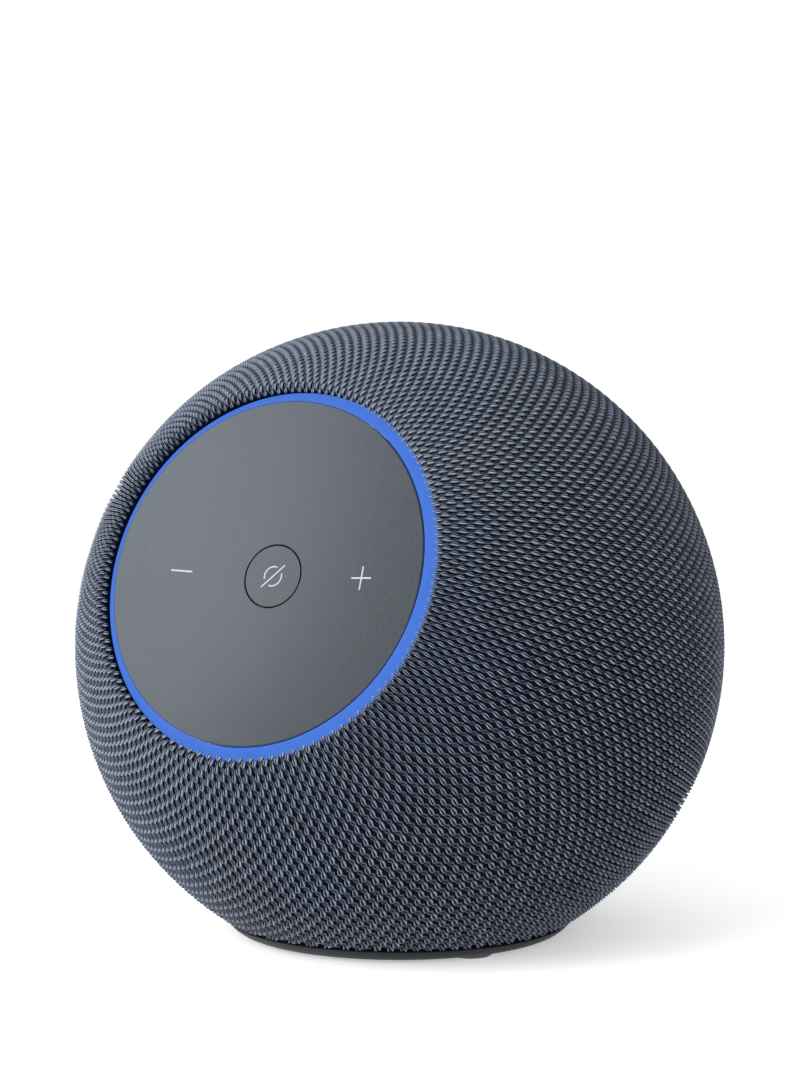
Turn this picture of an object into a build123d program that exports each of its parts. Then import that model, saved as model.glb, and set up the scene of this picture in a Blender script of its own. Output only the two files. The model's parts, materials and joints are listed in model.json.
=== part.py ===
from build123d import *
import os
from math import sqrt, sin, cos, radians

# Ball-shaped smart speaker. Millimetres, +Z up, front towards -Y.
# The origin is the middle of the resting plane, straight below the ball's centre.

# ---- ball and cover ----
body_radius = 54.35         # outside of the knitted cover
face_tilt = 20.0            # the control face looks this many degrees above level
knit_thickness = 1.3
knit_gap = 0.15             # between the knit and the housing it is pulled over
shell_wall = 2.0
split_gap = 0.1             # between the two halves of the housing

# ---- base ----
hem_radius = 29.57          # outside of the knit where it ends above the base
hem_gap = 0.2               # dark line between the rim and the knit's hem
base_rim_inset = 0.37       # from the hem's edge in to the rim's top edge
base_rim_height = 1.7
base_rim_flare = 1.95       # how much wider the rim is at its top
foot_stand = 0.7            # how far the feet stand below the base
shell_floor = 2.0           # flat ring inside the housing, above the base
shell_floor_height = 3.7    # its underside, above the base's underside
foot_radius = 3.7
foot_depth = 1.0            # how deep a foot sits in its pocket
foot_circle = 23.0
foot_count = 3
service_radius = 14.0       # cover in the middle of the base
service_thickness = 0.8
service_wall_gap = 0.6      # between the cover and the wall round it
service_wall = 1.6
rim_bulge = (0.62, 0.45)    # where the rim's side bends, as shares of its flare and height
foot_chamfer = 0.6          # share of a foot's stand

# ---- control face, heights measured from the ball's centre along the face's axis ----
plate_radius = 27.55
plate_thickness = 1.6
dish_depth = 2.9
ring_gap = 0.2              # between the plate and the light ring
ring_width = 1.85
ring_drop = 1.55            # how far the ring's bevel falls
ring_sink = 0.1             # its top, below the plate's rim
ring_crown = (0.6, 0.36)    # a point on the bevel, as shares of its width and drop
lip_crown = (0.3, 0.35)     # a point on the lip's round, as shares of its thickness and the drop
reflector_wall = 1.0
lip_gap = 0.35              # between the light ring and the knit's turned-in lip
lip_depth = 4.0
key_radius = 4.9
key_gap = 0.25
key_travel = 0.4
key_flange = 1.2            # how far the key's flange stands out under the plate
key_flange_thickness = 0.8
key_stop_gap = 0.15
key_overlap = 0.2           # of the cap and its flange
key_stem = 1.6
touch_reach = 16.4          # middle of each touch pad from the middle of the face
touch_radius = 5.0
touch_thickness = 0.4
foam_inset = 0.5
key_stack = 3.1             # from the plate's back to the control board, at the middle
control_board_thickness = 1.0
led_size = 1.6
led_height = 0.8
led_gap = 0.3
led_count = 12
led_turn = 15
led_edge = 0.3              # from an LED to the board's edge
chassis_wall = 1.4
chassis_floor = 2.0
chassis_gap = 0.2
switch_width = 4.5
switch_height = 1.0
plunger_radius = 0.9
plunger_sink = 0.15         # how far it starts inside the switch
plunger_slack = 0.1
mic_count = 4
mic_width, mic_depth, mic_height = 3.5, 2.65, 1.0
cable_place = -9.0          # the ribbon's way through the chassis, below the middle
cable_slot = (12.0, 5.0)
mic_circle = 21.5

# ---- power inlet, opposite the face ----
bezel_radius = 11.5
bezel_gap = 0.2
bezel_neck = 9.5
bezel_flat = 6.5            # radius of the flat round the recess
inlet_radius = 4.2          # recess that the plug's grip goes into
inlet_depth = 4.0
inlet_sink = 0.45           # the flat, below the ball's surface
jack_width = 9.0
jack_length = 11.0
jack_bore = 2.85
jack_pin = 1.0
jack_floor = 1.5
jack_board_size = (18.0, 14.0)
bezel_floor = 2.0           # plastic behind the recess's floor
shell_post_reach = 0.8      # where the rear posts start, as a share of the drum's radius
shell_post_place = 0.6      # and as a share of its half length

# ---- speaker chamber and driver ----
chamber_radius = 30.0       # a drum lying across the ball
chamber_wall = 2.0
chamber_room = 0.95         # between the radiators' frames and the housing
board_room = 5.1            # between the board and the chamber's flat belly
chamber_back = 6.0          # its axis stands this far behind the ball's centre
driver_seat = 30.0          # the driver's seat above the drum's axis
flange_radius = 26.5
flange_thickness = 1.5
basket_radius = 21.0        # inside of the flange
basket_wall = 1.2
basket_shoulder = 1.5
basket_window = (12.0, 12.0, 5.0)
basket_window_drop = 6.0    # below the seat
basket_window_inset = 2.0
motor_overlap = 1.4         # of the basket's floor and the motor's edge
motor_radius = 14.0
motor_depth = 18.0          # from the seat down to the top plate
top_plate_thickness = 3.0
magnet_height = 8.0
yoke_thickness = 3.0
yoke_inset = 0.8
magnet_inset = 1.6
pole_radius = 5.8
coil_gap = 0.25             # to the pole's and the top plate's sides of the gap
former_wall = 0.25
former_air = 0.45
coil_wall = 0.35
coil_height = 4.0
cone_radius = 17.0
cone_depth = 8.2
cone_wall = 0.5
cone_rim = 1.2              # flat edge that the surround is glued to
cone_neck = 0.8             # glued length on the coil's former
former_rise = 0.4           # the former's end above the cone's throat
former_spare = 0.5          # the former below the coil
dust_cap_rise = 2.2
surround_wall = 0.4
gasket_width = 1.6
gasket_thickness = 0.8
gasket_inset = 0.2
seat_margin = 0.5
driver_screw_length = 5.0
spider_radius = 14.0
spider_height = 5.4         # above the motor's top
spider_thickness = 0.4
spider_wave = 0.4
spider_steps = 8
ledge_thickness = 0.8
ledge_sink = 0.4
ledge_inset = 1.2           # the spider lies on this much of the ledge
ledge_margin = 2.7          # the basket's slope ends this much short of the motor
radiator_rim = 29.0
radiator_frame_thickness = 2.0
radiator_opening = 23.0
radiator_radius = 17.0
radiator_thickness = 1.4
radiator_travel = 3.0       # each way
radiator_dish = 0.6         # share of the plate that is sunk
radiator_dish_depth = 0.5
radiator_hole_room = 4.0    # past the plate's furthest place

# ---- boards and fasteners ----
board_radius = 26.0
board_thickness = 1.2
board_stand = 4.0           # height of the board's posts
shield_size = (16.0, 14.0, 2.2)
shield_place = 2.0
capacitor_radius = 2.8
capacitor_height = 6.0
capacitor_places = ((-9.0, -19.0), (9.0, -19.0))
antenna_size = (10.0, 0.8, 5.0)
board_part_rows = (         # x, y, width, depth, height
    (-14, -4, 5, 4, 1.0), (14, -4, 6, 6, 0.9), (-13, 8, 4, 4, 1.6), (13, 8, 4, 4, 1.6),
    (0, -9, 7, 3.5, 1.2))
antenna_places = ((-9.0, 21.0), (9.0, 21.0))
cable_width = 9.0
cable_thickness = 0.3
cable_bend = 1.0
cable_climb = 16.0          # height over the board where the ribbon turns in
cable_reach = (1.08, 0.9)   # its bends, as shares of the board's radius
cable_landing = 3.5
post_radius = 2.4
post_circle = 22.0
screw_radius = 0.9
screw_head = 1.7
screw_head_height = 1.1
screw_clearance = 0.05
screw_count = 4
screw_turn = 45             # degrees from the x axis to the first screw of a ring
screw_bite = 2.0            # how far the chassis screws go into their posts
bite_room = 0.2             # left below a screw's end
overrun = 1.0               # how far a cutting shape runs past what it cuts
sound_hole = 2.0
sound_pitch = 6.4
fit_gap = 0.15              # between pieces that drop into each other

# ---- sizes that follow ----
tilt = radians(face_tilt)
base_bottom = foot_stand
rim_top = base_bottom + base_rim_height
hem_bottom = rim_top + hem_gap
centre_height = hem_bottom + sqrt(body_radius**2 - hem_radius**2)
rim_top_radius = hem_radius - base_rim_inset
rim_foot_radius = rim_top_radius - base_rim_flare
shell_radius = body_radius - knit_thickness - knit_gap
shell_inner = shell_radius - shell_wall
ring_inner = plate_radius + ring_gap
ring_outer = ring_inner + ring_width
lip_inner = ring_outer + lip_gap
lip_outer = lip_inner + knit_thickness
face_height = sqrt(body_radius**2 - lip_outer**2)
lip_bottom = face_height - lip_depth
dish_curve = (plate_radius**2 + dish_depth**2) / (2 * dish_depth)
dish_floor = face_height - dish_depth
control_board_top = dish_floor - plate_thickness - key_stack
ring_bottom = control_board_top + led_height + led_gap
chassis_inner = ring_outer + chassis_gap
chassis_outer = chassis_inner + chassis_wall
chassis_top = lip_bottom - chassis_gap
chassis_seat = control_board_top - control_board_thickness
chassis_bottom = chassis_seat - chassis_floor
shell_mouth = lip_outer + fit_gap
chassis_screw_circle = shell_mouth + post_radius + fit_gap
key_flange_top = dish_floor - plate_thickness - key_stop_gap
switch_top = control_board_top + switch_height
plunger_top = switch_top + key_travel + plunger_slack
floor_bottom = base_bottom + shell_floor_height
floor_top = floor_bottom + shell_floor
board_bottom = floor_top + board_stand
board_top = board_bottom + board_thickness
inlet_face = body_radius - inlet_sink
inlet_floor = inlet_face - inlet_depth
chamber_belly = board_top + board_room
chamber_half = (sqrt(shell_inner**2 - (radiator_rim + chamber_back)**2)
                - radiator_frame_thickness - chamber_room)
seat_top = driver_seat + flange_thickness
motor_top = driver_seat - motor_depth
magnet_top = motor_top - top_plate_thickness
magnet_bottom = magnet_top - magnet_height
former_inner = pole_radius + former_air
former_outer = former_inner + former_wall
coil_outer = former_outer + coil_wall
gap_radius = coil_outer + coil_gap
cone_edge = seat_top - cone_wall
cone_throat = cone_edge - cone_depth

# ---- frames ----
face_axis = (0, -cos(tilt), sin(tilt))
top_axis = (0, sin(tilt), cos(tilt))
face_frame = Plane(origin=(0, 0, centre_height), x_dir=(1, 0, 0), z_dir=face_axis)
base_frame = Plane.XY
drum_origin = face_frame.from_local_coords((0, 0, -chamber_back))
driver_frame = Plane(origin=drum_origin, x_dir=(1, 0, 0), z_dir=top_axis)
right_frame = Plane(origin=drum_origin, x_dir=face_axis, z_dir=(1, 0, 0))
left_frame = Plane(origin=drum_origin, x_dir=face_axis, z_dir=(-1, 0, 0))
inlet_frame = Plane(origin=(0, 0, centre_height), x_dir=(1, 0, 0),
                    z_dir=(0, cos(tilt), -sin(tilt)))


def place(shape, frame):
    return frame.location * shape


def turned(points, frame):
    """A closed outline of (radius, height) points turned about the frame's axis."""
    outline = Polyline(*[(r, 0, h) for r, h in points], close=True)
    return place(revolve(make_face(outline), Axis.Z), frame)


def turned_edges(edges, frame):
    return place(revolve(make_face(edges), Axis.Z), frame)


def tube(outer, inner, low, high, frame):
    return turned([(inner, low), (outer, low), (outer, high), (inner, high)], frame)


def rod(radius, low, high, frame, x=0, y=0):
    height = high - low
    return place(Pos(x, y, low + height / 2) * Cylinder(radius, height), frame)


def block(width, depth, low, high, frame, x=0, y=0, turn=0):
    height = high - low
    shape = Pos(x, y, low + height / 2) * Rot(0, 0, turn) * Box(width, depth, height)
    return place(shape, frame)


def ball(radius):
    return place(Sphere(radius), face_frame)


def round_places(radius, count, start=0):
    """Places of equally spaced pieces on a circle, as (x, y, angle)."""
    angles = [start + 360 * i / count for i in range(count)]
    return [(radius * cos(radians(a)), radius * sin(radians(a)), a) for a in angles]


def screw(frame, x, y, head_low, shank_high):
    """A pan-head screw with its head below head_low + head height."""
    seat = head_low + screw_head_height
    return (rod(screw_head, head_low, seat, frame, x, y)
            + rod(screw_radius, seat, shank_high, frame, x, y))


def grouped(shapes):
    """Separate solids kept as one group."""
    solids = [s for shape in shapes for s in shape.solids()]
    return Compound(children=solids)


def above_split(gap):
    """Everything in front of the housing's split plane."""
    size = 4 * body_radius
    return place(Pos(0, 0, size / 2 + gap) * Box(size, size, size), face_frame)


def below_split(gap):
    size = 4 * body_radius
    return place(Pos(0, 0, -size / 2 - gap) * Box(size, size, size), face_frame)


def above_level(height):
    size = 4 * body_radius
    return Pos(0, 0, size / 2 + height) * Box(size, size, size)


def dish(radius):
    return dish_floor + dish_curve - sqrt(dish_curve**2 - radius**2)


# ---- cover ----
def knit_cover():
    skin = ball(body_radius) - ball(body_radius - knit_thickness)
    skin -= rod(lip_outer, 0, 2 * body_radius, face_frame)
    skin -= rod(bezel_radius + bezel_gap, 0, 2 * body_radius, inlet_frame)
    shoulder = lip_inner + lip_crown[0] * knit_thickness
    shoulder_height = face_height - lip_crown[1] * ring_drop
    lip = turned_edges(
        [Line((lip_outer, 0, lip_bottom), (lip_inner, 0, lip_bottom)),
         Line((lip_inner, 0, lip_bottom), (lip_inner, 0, face_height - ring_drop)),
         ThreePointArc((lip_inner, 0, face_height - ring_drop),
                       (shoulder, 0, shoulder_height),
                       (lip_outer, 0, face_height)),
         Line((lip_outer, 0, face_height), (lip_outer, 0, lip_bottom))], face_frame)
    return (skin + lip) & above_level(hem_bottom)


# ---- housing ----
def sound_holes(frame, reach, low, high):
    row_pitch = sound_pitch * sqrt(3) / 2
    rows = int(reach // row_pitch)
    columns = int(reach // sound_pitch) + 1
    holes = []
    for row in range(-rows, rows + 1):
        y = row * row_pitch
        shift = sound_pitch / 2 if row % 2 else 0
        for column in range(-columns, columns + 1):
            x = column * sound_pitch + shift
            if x * x + y * y <= reach**2:
                holes.append(rod(sound_hole, low, high, frame, x, y))
    return holes


def housing():
    """The whole housing before it is split in two."""
    shell = ball(shell_radius) - ball(shell_inner)
    bottom = tube(2 * board_radius, service_radius, floor_bottom, floor_top, base_frame)
    shell += bottom & ball(shell_radius - shell_wall / 2)
    shell = shell & above_level(floor_bottom)
    shell -= rod(shell_mouth, 0, 2 * body_radius, face_frame)
    shell -= rod(bezel_neck + fit_gap, 0, 2 * body_radius, inlet_frame)
    return shell


def front_shell():
    shell = housing() & above_split(split_gap / 2)
    inside = ball(shell_radius - shell_wall / 2)
    for x, y, _ in round_places(chassis_screw_circle, screw_count, screw_turn):
        boss = rod(post_radius, chassis_seat, face_height, face_frame, x, y) & inside
        shell += boss
        shell -= rod(screw_radius + screw_clearance, chassis_seat - overrun,
                     chassis_seat + screw_bite + bite_room,
                     face_frame, x, y)
    for hole in sound_holes(driver_frame, cone_radius, seat_top, 2 * body_radius):
        shell -= hole
    return shell - base_screw_holes()


def rear_shell():
    shell = housing() & below_split(split_gap / 2)
    drum = rod(chamber_radius, -2 * chamber_half, 2 * chamber_half, right_frame)
    inside = ball(shell_radius - shell_wall / 2)
    for x in (-chamber_half * shell_post_place, chamber_half * shell_post_place):
        post = rod(2 * post_radius, chamber_radius * shell_post_reach, body_radius,
                   inlet_frame, x)
        shell += (post - drum) & inside
    for hole in sound_holes(driver_frame, cone_radius, seat_top, 2 * body_radius):
        shell -= hole
    for frame in (left_frame, right_frame):
        for hole in sound_holes(frame, radiator_radius,
                                chamber_half + radiator_travel + radiator_hole_room,
                                2 * body_radius):
            shell -= hole
    return shell - base_screw_holes()


def base_screw_places():
    """Between the feet."""
    return round_places(foot_circle, foot_count, 90 + 180 / foot_count)


def base_screw_holes():
    return grouped([rod(screw_radius + screw_clearance, floor_bottom - overrun, floor_top + overrun,
                        base_frame, x, y)
                    for x, y, _ in base_screw_places()])


# ---- base ----
def base():
    top = floor_bottom - fit_gap
    post_top = floor_bottom
    wall_inner = service_radius + service_wall_gap
    dish_part = turned(
        [(0, base_bottom), (rim_foot_radius, base_bottom),
         (rim_foot_radius + base_rim_flare * rim_bulge[0],
          base_bottom + base_rim_height * rim_bulge[1]),
         (rim_top_radius, rim_top),
         (0, rim_top)], base_frame)
    dish_part += tube(wall_inner + service_wall, wall_inner, rim_top, top, base_frame)
    for x, y, _ in base_screw_places():
        dish_part += rod(post_radius, rim_top, post_top, base_frame, x, y)
        dish_part -= rod(screw_radius + screw_clearance, base_bottom - overrun, post_top + overrun,
                         base_frame, x, y)
        dish_part -= rod(screw_head + fit_gap, base_bottom - overrun,
                         base_bottom + screw_head_height + fit_gap, base_frame, x, y)
    dish_part -= rod(service_radius + fit_gap, 0, base_bottom + service_thickness, base_frame)
    for x, y, _ in feet_places():
        dish_part -= rod(foot_radius + fit_gap / 2, 0, base_bottom + foot_depth,
                         base_frame, x, y)
    return dish_part


def feet_places():
    return round_places(foot_circle, foot_count, 90)


def rubber_feet():
    feet = []
    for x, y, _ in feet_places():
        foot = rod(foot_radius, 0, base_bottom + foot_depth, base_frame, x, y)
        feet.append(chamfer(foot.faces().sort_by(Axis.Z)[0].edges(),
                            foot_stand * foot_chamfer))
    return grouped(feet)


def service_cover():
    return rod(service_radius, base_bottom, base_bottom + service_thickness, base_frame)


def base_screws():
    return grouped([screw(base_frame, x, y, base_bottom + fit_gap, floor_top)
                    for x, y, _ in base_screw_places()])


# ---- control face ----
def control_plate():
    hole = key_radius + key_gap
    middle = (hole + plate_radius) / 2
    back = plate_thickness
    return turned_edges(
        [ThreePointArc((hole, 0, dish(hole)), (middle, 0, dish(middle)),
                       (plate_radius, 0, dish(plate_radius))),
         Line((plate_radius, 0, dish(plate_radius)),
              (plate_radius, 0, dish(plate_radius) - back)),
         ThreePointArc((plate_radius, 0, dish(plate_radius) - back),
                       (middle, 0, dish(middle) - back), (hole, 0, dish(hole) - back)),
         Line((hole, 0, dish(hole) - back), (hole, 0, dish(hole)))], face_frame)


def light_ring():
    top = face_height - ring_sink
    foot = top - ring_drop
    crown = (ring_inner + ring_crown[0] * ring_width, 0, top - ring_crown[1] * ring_drop)
    return turned_edges(
        [Line((ring_inner, 0, ring_bottom), (ring_inner, 0, top)),
         ThreePointArc((ring_inner, 0, top), crown, (ring_outer, 0, foot)),
         Line((ring_outer, 0, foot), (ring_outer, 0, ring_bottom)),
         Line((ring_outer, 0, ring_bottom), (ring_inner, 0, ring_bottom))], face_frame)


def ring_reflector():
    outer = ring_inner - fit_gap
    inner = outer - reflector_wall
    return tube(outer, inner, control_board_top, dish(inner) - plate_thickness, face_frame)


def face_chassis():
    tray = rod(chassis_outer, chassis_bottom, chassis_top, face_frame)
    tray -= rod(chassis_inner, chassis_seat, chassis_top + overrun, face_frame)
    tray += rod(chassis_screw_circle + post_radius, chassis_bottom, chassis_seat, face_frame)
    tray = tray & ball(shell_inner - fit_gap)
    for x, y, _ in round_places(chassis_screw_circle, screw_count, screw_turn):
        tray -= rod(screw_radius + screw_clearance, chassis_bottom - overrun,
                    chassis_seat + overrun,
                    face_frame, x, y)
    tray -= block(*cable_slot, chassis_bottom - overrun, chassis_seat + overrun, face_frame,
                  0, cable_place)
    return tray


def chassis_screws():
    return grouped([screw(face_frame, x, y, chassis_bottom - screw_head_height,
                          chassis_seat + screw_bite)
                    for x, y, _ in round_places(chassis_screw_circle, screw_count, screw_turn)])


def control_board():
    return rod(chassis_inner - fit_gap, chassis_seat, control_board_top, face_frame)


def ring_leds():
    middle = chassis_inner - fit_gap - led_size / 2 - led_edge
    return grouped([block(led_size, led_size, control_board_top,
                          control_board_top + led_height, face_frame, x, y, a)
                    for x, y, a in round_places(middle, led_count, led_turn)])


def microphones():
    return grouped([block(mic_width, mic_depth, control_board_top, control_board_top + mic_height,
                          face_frame, x, y, a)
                    for x, y, a in round_places(mic_circle, mic_count, screw_turn)])


def touch_top():
    return dish(touch_reach - touch_radius) - plate_thickness


def touch_pads():
    top = touch_top()
    return grouped([rod(touch_radius, top - touch_thickness, top, face_frame, x)
                    for x in (-touch_reach, touch_reach)])


def touch_foam():
    top = touch_top() - touch_thickness
    return grouped([rod(touch_radius - foam_inset, control_board_top, top, face_frame, x)
                    for x in (-touch_reach, touch_reach)])


def mute_key():
    flange_bottom = key_flange_top - key_flange_thickness
    middle = key_radius / 2
    low = key_flange_top - key_overlap
    cap = turned_edges(
        [Line((0, 0, low), (key_radius, 0, low)),
         Line((key_radius, 0, low), (key_radius, 0, dish(key_radius))),
         ThreePointArc((key_radius, 0, dish(key_radius)), (middle, 0, dish(middle)),
                       (0, 0, dish(0))),
         Line((0, 0, dish(0)), (0, 0, low))], face_frame)
    cap += rod(key_radius + key_flange, flange_bottom, key_flange_top, face_frame)
    return cap + rod(key_stem, plunger_top, flange_bottom, face_frame)


def switch_plunger():
    return rod(plunger_radius, switch_top - plunger_sink, plunger_top, face_frame)


def tact_switch():
    body = block(switch_width, switch_width, control_board_top, switch_top, face_frame)
    return body - rod(plunger_radius + fit_gap,
                      switch_top - plunger_sink - key_travel - fit_gap,
                      switch_top + overrun, face_frame)


# ---- power inlet ----
def inlet_bezel():
    shoulder = shell_radius
    bezel = rod(bezel_radius, shoulder, body_radius, inlet_frame) & ball(body_radius)
    bezel += rod(bezel_neck, inlet_floor - bezel_floor, shoulder, inlet_frame)
    bezel -= rod(bezel_flat, inlet_face, body_radius + overrun, inlet_frame)
    bezel -= rod(inlet_radius, inlet_floor, body_radius + overrun, inlet_frame)
    return bezel - block(jack_width + 2 * fit_gap, jack_width + 2 * fit_gap,
                         inlet_floor - 2 * bezel_floor, inlet_floor, inlet_frame)


def dc_jack():
    low = inlet_floor - jack_length
    jack = block(jack_width, jack_width, low, inlet_floor, inlet_frame)
    jack -= rod(jack_bore, low + jack_floor, inlet_floor + overrun, inlet_frame)
    return jack + rod(jack_pin, low + jack_floor / 2, inlet_floor - jack_floor, inlet_frame)


def jack_board():
    top = inlet_floor - jack_length
    return block(*jack_board_size, top - board_thickness, top, inlet_frame)


# ---- speaker chamber ----
def acoustic_chamber():
    drum = rod(chamber_radius, -chamber_half, chamber_half, right_frame)
    drum = drum & above_level(chamber_belly)
    seat = flange_radius + seat_margin
    drum += rod(seat, chamber_radius / 2, driver_seat, driver_frame)
    inside = rod(chamber_radius - chamber_wall, -chamber_half - overrun,
                 chamber_half + overrun, right_frame)
    drum -= inside & above_level(chamber_belly + chamber_wall)
    drum -= rod(basket_radius + basket_wall + fit_gap, 0, driver_seat + overrun, driver_frame)
    for x, y, _ in driver_screw_places():
        drum -= rod(screw_radius + screw_clearance, driver_seat - driver_screw_length - bite_room,
                    driver_seat + overrun,
                    driver_frame, x, y)
    return drum


def driver_screw_places():
    return round_places((basket_radius + gasket_width + flange_radius) / 2, screw_count, screw_turn)


def driver_basket():
    low = motor_top
    slope = basket_radius - motor_radius + motor_overlap
    basket = tube(flange_radius, basket_radius, driver_seat, seat_top, driver_frame)
    foot = basket_radius - slope
    basket += turned([(basket_radius, seat_top), (basket_radius + basket_wall, seat_top),
                      (basket_radius + basket_wall, driver_seat - basket_shoulder),
                      (foot + basket_wall, low + basket_wall), (foot + basket_wall, low),
                      (gap_radius + magnet_inset, low), (gap_radius + magnet_inset, low + basket_wall),
                      (foot, low + basket_wall), (basket_radius, driver_seat - basket_shoulder)],
                     driver_frame)
    for x, y, a in round_places(basket_radius - basket_window_inset, screw_count, screw_turn):
        window = Pos(x, y, driver_seat - basket_window_drop) * Rot(0, 0, a)
        window = window * Box(*basket_window)
        basket -= place(window, driver_frame)
    ledge = spider_level() - ledge_thickness
    reach = basket_radius - (driver_seat - basket_shoulder - ledge) * slope / (motor_depth - ledge_margin)
    basket += tube(reach + basket_wall / 2, spider_radius - ledge_inset, ledge - ledge_sink,
                   ledge + ledge_thickness,
                   driver_frame)
    for x, y, _ in driver_screw_places():
        basket -= rod(screw_radius + screw_clearance, driver_seat - overrun, seat_top + overrun,
                      driver_frame, x, y)
    return basket


def spider_level():
    return motor_top + spider_height


def driver_screws():
    screws = []
    for x, y, _ in driver_screw_places():
        head = rod(screw_head, seat_top, seat_top + screw_head_height, driver_frame, x, y)
        screws.append(head + rod(screw_radius, driver_seat - driver_screw_length, seat_top,
                                 driver_frame, x, y))
    return grouped(screws)


def top_plate():
    return tube(motor_radius, gap_radius, magnet_top, motor_top, driver_frame)


def driver_magnet():
    return tube(motor_radius, gap_radius + magnet_inset, magnet_bottom, magnet_top, driver_frame)


def driver_yoke():
    yoke = rod(motor_radius - yoke_inset, magnet_bottom - yoke_thickness, magnet_bottom,
               driver_frame)
    return yoke + rod(pole_radius, magnet_bottom, motor_top, driver_frame)


def driver_cone():
    neck = former_outer + cone_wall
    cone = turned([(former_outer, cone_throat - cone_neck), (neck, cone_throat - cone_neck),
                   (neck, cone_throat), (cone_radius, cone_edge),
                   (cone_radius, cone_edge + cone_wall),
                   (cone_radius - cone_rim, cone_edge + cone_wall),
                   (former_outer, cone_throat + former_rise)], driver_frame)
    return cone


def coil_former():
    low = motor_top - top_plate_thickness / 2 - coil_height / 2 - former_spare
    return tube(former_outer, former_inner, low, cone_throat + former_rise, driver_frame)


def voice_coil():
    middle = motor_top - top_plate_thickness / 2
    return tube(coil_outer, former_outer, middle - coil_height / 2,
                middle + coil_height / 2, driver_frame)


def dust_cap():
    low = cone_throat + former_rise
    curve = (former_outer**2 + dust_cap_rise**2) / (2 * dust_cap_rise)
    middle = low + dust_cap_rise - curve
    dome = Pos(0, 0, middle) * (Sphere(curve) - Sphere(curve - cone_wall))
    return place(dome, driver_frame) & rod(former_outer, low, low + curve, driver_frame)


def half_roll(inner, outer, low, wall, grip, seat, frame):
    """A rolled rubber edge from inner to outer, glued down over grip and seat."""
    rise = (outer - inner) / 2
    middle = (inner + outer) / 2
    return turned_edges(
        [Line((inner - grip, 0, low), (inner + wall, 0, low)),
         ThreePointArc((inner + wall, 0, low), (middle, 0, low + rise - wall),
                       (outer - wall, 0, low)),
         Line((outer - wall, 0, low), (outer + seat, 0, low)),
         Line((outer + seat, 0, low), (outer + seat, 0, low + wall)),
         Line((outer + seat, 0, low + wall), (outer, 0, low + wall)),
         ThreePointArc((outer, 0, low + wall), (middle, 0, low + rise),
                       (inner, 0, low + wall)),
         Line((inner, 0, low + wall), (inner - grip, 0, low + wall)),
         Line((inner - grip, 0, low + wall), (inner - grip, 0, low))], frame)


def driver_surround():
    return half_roll(cone_radius, basket_radius, seat_top, surround_wall, cone_rim,
                     gasket_width, driver_frame)


def driver_gasket():
    low = seat_top + surround_wall
    return tube(basket_radius + gasket_width, basket_radius + gasket_inset, low,
                low + gasket_thickness, driver_frame)


def driver_spider():
    low = spider_level()
    steps = spider_steps
    radii = [former_outer + (spider_radius - former_outer) * i / steps
             for i in range(steps + 1)]
    wave = [spider_wave if i % 2 else 0 for i in range(steps + 1)]
    lower = [(r, low + w) for r, w in zip(radii, wave)]
    upper = [(r, low + w + spider_thickness) for r, w in zip(radii, wave)]
    return turned(lower + upper[::-1], driver_frame)


# ---- passive radiators ----
def radiator_frame(frame):
    return tube(radiator_rim, radiator_opening, chamber_half,
                chamber_half + radiator_frame_thickness, frame)


def radiator_plate(frame):
    top = chamber_half + radiator_frame_thickness
    plate = rod(radiator_radius, top - radiator_thickness, top, frame)
    return plate - rod(radiator_radius * radiator_dish, top - radiator_dish_depth, top + overrun,
                       frame)


def radiator_surround(frame):
    return half_roll(radiator_radius, radiator_opening,
                     chamber_half + radiator_frame_thickness, surround_wall, cone_rim,
                     gasket_width, frame)


# ---- boards ----
def main_board():
    board = rod(board_radius, board_bottom, board_top, base_frame)
    for x, y, _ in round_places(post_circle, screw_count, screw_turn):
        board -= rod(screw_radius + screw_clearance, board_bottom - overrun, board_top + overrun,
                     base_frame, x, y)
    return board


def board_posts():
    posts = []
    for x, y, _ in round_places(post_circle, screw_count, screw_turn):
        post = rod(post_radius, floor_top, board_bottom, base_frame, x, y)
        posts.append(post - rod(screw_radius + screw_clearance, floor_top - overrun,
                                board_bottom + overrun, base_frame, x, y))
    return grouped(posts)


def board_screws():
    screws = []
    for x, y, _ in round_places(post_circle, screw_count, screw_turn):
        head = rod(screw_head, board_top, board_top + screw_head_height, base_frame, x, y)
        shank = rod(screw_radius, floor_top + bite_room, board_top, base_frame, x, y)
        screws.append(head + shank)
    return grouped(screws)


def processor_shield():
    width, depth, height = shield_size
    return block(width, depth, board_top, board_top + height, base_frame, 0, shield_place)


def capacitors():
    return grouped([rod(capacitor_radius, board_top, board_top + capacitor_height, base_frame,
                        x, y) for x, y in capacitor_places])


def board_parts():
    return grouped([block(w, d, board_top, board_top + h, base_frame, x, y)
                    for x, y, w, d, h in board_part_rows])


def wifi_antennas():
    width, depth, height = antenna_size
    return grouped([block(width, depth, board_top, board_top + height, base_frame, x, y)
                    for x, y in antenna_places])


def ribbon_cable():
    landing = board_top + cable_thickness / 2
    start = face_frame.from_local_coords((0, cable_place, chassis_seat))
    bend = face_frame.from_local_coords((0, cable_place, chassis_bottom - 2 * cable_bend))
    points = [(0, start.Y, start.Z),
              (0, bend.Y, bend.Z),
              (0, -board_radius * cable_reach[0], board_top + cable_climb),
              (0, -board_radius * cable_reach[1], landing),
              (0, -board_radius * cable_reach[1] + cable_landing, landing)]
    path = FilletPolyline(*points, radius=cable_bend)
    section = Plane(origin=path @ 0, z_dir=path % 0, x_dir=(1, 0, 0)) * Rectangle(cable_width, cable_thickness)
    return sweep(section, path=path)


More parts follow.
